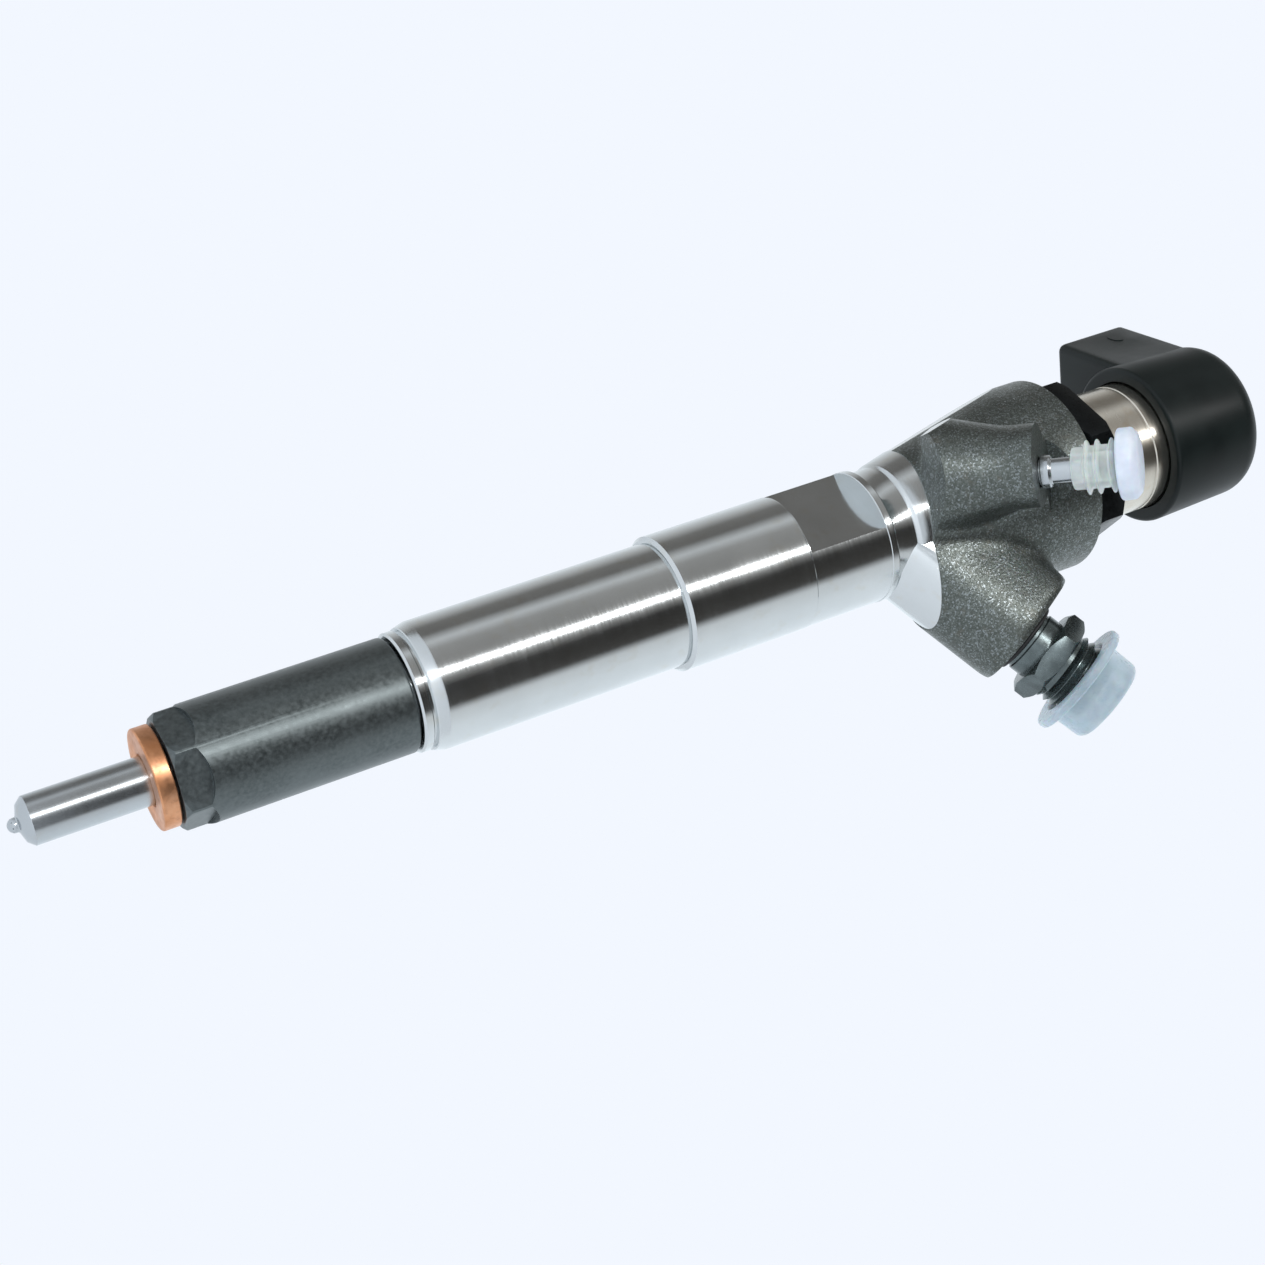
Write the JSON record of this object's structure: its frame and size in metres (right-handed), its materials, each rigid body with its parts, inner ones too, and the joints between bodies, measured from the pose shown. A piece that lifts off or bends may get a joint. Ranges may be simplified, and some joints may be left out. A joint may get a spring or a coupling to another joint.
{
  "type": "fuel injector",
  "caption": "Diesel common-rail fuel injector: long-shanked nozzle, forged body with tilted pressure inlet and leak-off port, piezo actuator and plug cap.",
  "frame": {"origin": "centre of the copper washer's sealing face, on the injector's axis", "axes": "+Z along the injector from the nozzle tip to the connector cap, +X towards the side that the high-pressure inlet leans to"},
  "size_m": [0.0641, 0.0549, 0.2044],
  "materials": {
    "copper": "dull copper",
    "ground_steel": "ground, bright",
    "turned_steel": "turned, bright, slightly warm",
    "spring_steel": "drawn",
    "forged_steel": "shot-blasted forging, oiled",
    "phosphated_steel": "phosphated, satin",
    "blackened_steel": "blackened, glossy",
    "piezo_ceramic": "lacquered ceramic",
    "insulator": "moulded",
    "black_plastic": "finely textured",
    "rubber": "moulded",
    "tinned_contact": "tin plated",
    "clear_plastic": "translucent, milky"
  },
  "bodies": {
    "injector": {"sealing_washer": "copper", "nozzle_body": "ground_steel", "nozzle_nut": "phosphated_steel", "lift_stop_plate": "ground_steel", "dowel_pin_1": "ground_steel", "dowel_pin_2": "ground_steel", "nozzle_spring": "spring_steel", "injector_body": "forged_steel", "inlet_throttle_disc": "ground_steel", "valve_body": "ground_steel", "valve_spring": "spring_steel", "lever_carrier": "ground_steel", "piezo_stack": "piezo_ceramic", "preload_tube": "spring_steel", "actuator_head_plate": "ground_steel", "actuator_header": "insulator", "actuator_sleeve": "turned_steel", "actuator_nut": "blackened_steel", "connector_cap": "black_plastic", "cap_seal_ring": "rubber", "terminal_1": "tinned_contact", "terminal_2": "tinned_contact", "contact_lead_1": "tinned_contact", "contact_lead_2": "tinned_contact", "inlet_connector": "blackened_steel", "inlet_seal_ring": "rubber", "inlet_rod_filter": "ground_steel", "leak_off_spigot": "ground_steel"},
    "needle": {"nozzle_needle": "ground_steel", "spring_seat": "ground_steel"},
    "piston": {"control_piston": "ground_steel"},
    "foot": {"actuator_foot": "ground_steel"},
    "lever_a": {"lever_a": "ground_steel"},
    "lever_b": {"lever_b": "ground_steel"},
    "tappet": {"valve_tappet": "ground_steel"},
    "valve": {"mushroom_valve": "ground_steel"},
    "inlet_cap": {"inlet_shipping_cap": "clear_plastic"},
    "leak_off_plug": {"leak_off_plug": "clear_plastic"}
  },
  "joints": [
    {"name": "needle_lift", "type": "slide", "parent": "injector", "child": "needle", "axis": [0, 0, 1], "range_m": [0, 0.00025], "stiffness_N_per_m": 30000, "springref_m": -0.001, "deforming": ["nozzle_spring"]},
    {"name": "piston_lift", "type": "slide", "parent": "injector", "child": "piston", "axis": [0, 0, 1], "range_m": [0, 0.00025]},
    {"name": "actuator_stroke", "type": "slide", "parent": "injector", "child": "foot", "axis": [0, 0, -1], "range_m": [0, 0.00004], "stiffness_N_per_m": 30000, "springref_m": -0.0005, "deforming": ["piezo_stack", "preload_tube"]},
    {"name": "lever_a_tilt", "type": "hinge", "parent": "injector", "child": "lever_a", "pos_m": [0, 0.0049, 0.1279], "axis": [1, 0, 0], "range_deg": [0, 1.4]},
    {"name": "lever_b_tilt", "type": "hinge", "parent": "injector", "child": "lever_b", "pos_m": [0, -0.0049, 0.1279], "axis": [-1, 0, 0], "range_deg": [0, 1.4]},
    {"name": "tappet_push", "type": "slide", "parent": "injector", "child": "tappet", "axis": [0, 0, -1], "range_m": [0, 0.0001]},
    {"name": "valve_opening", "type": "slide", "parent": "injector", "child": "valve", "axis": [0, 0, -1], "range_m": [0, 0.0001], "deforming": ["valve_spring"]},
    {"name": "inlet_cap_pull", "type": "slide", "parent": "injector", "child": "inlet_cap", "axis": [0.866, 0, 0.5], "range_m": [0, 0.012]},
    {"name": "leak_off_plug_pull", "type": "slide", "parent": "injector", "child": "leak_off_plug", "axis": [0.3954, -0.5862, 0.7071], "range_m": [0, 0.012]}
  ],
  "couplings": [
    {"joint": "piston_lift", "follows": "needle_lift", "ratio": 1},
    {"joint": "lever_a_tilt", "follows": "actuator_stroke", "rad_per_m": 588},
    {"joint": "lever_b_tilt", "follows": "actuator_stroke", "rad_per_m": 588},
    {"joint": "tappet_push", "follows": "actuator_stroke", "ratio": 2.35},
    {"joint": "valve_opening", "follows": "actuator_stroke", "ratio": 2.35}
  ]
}
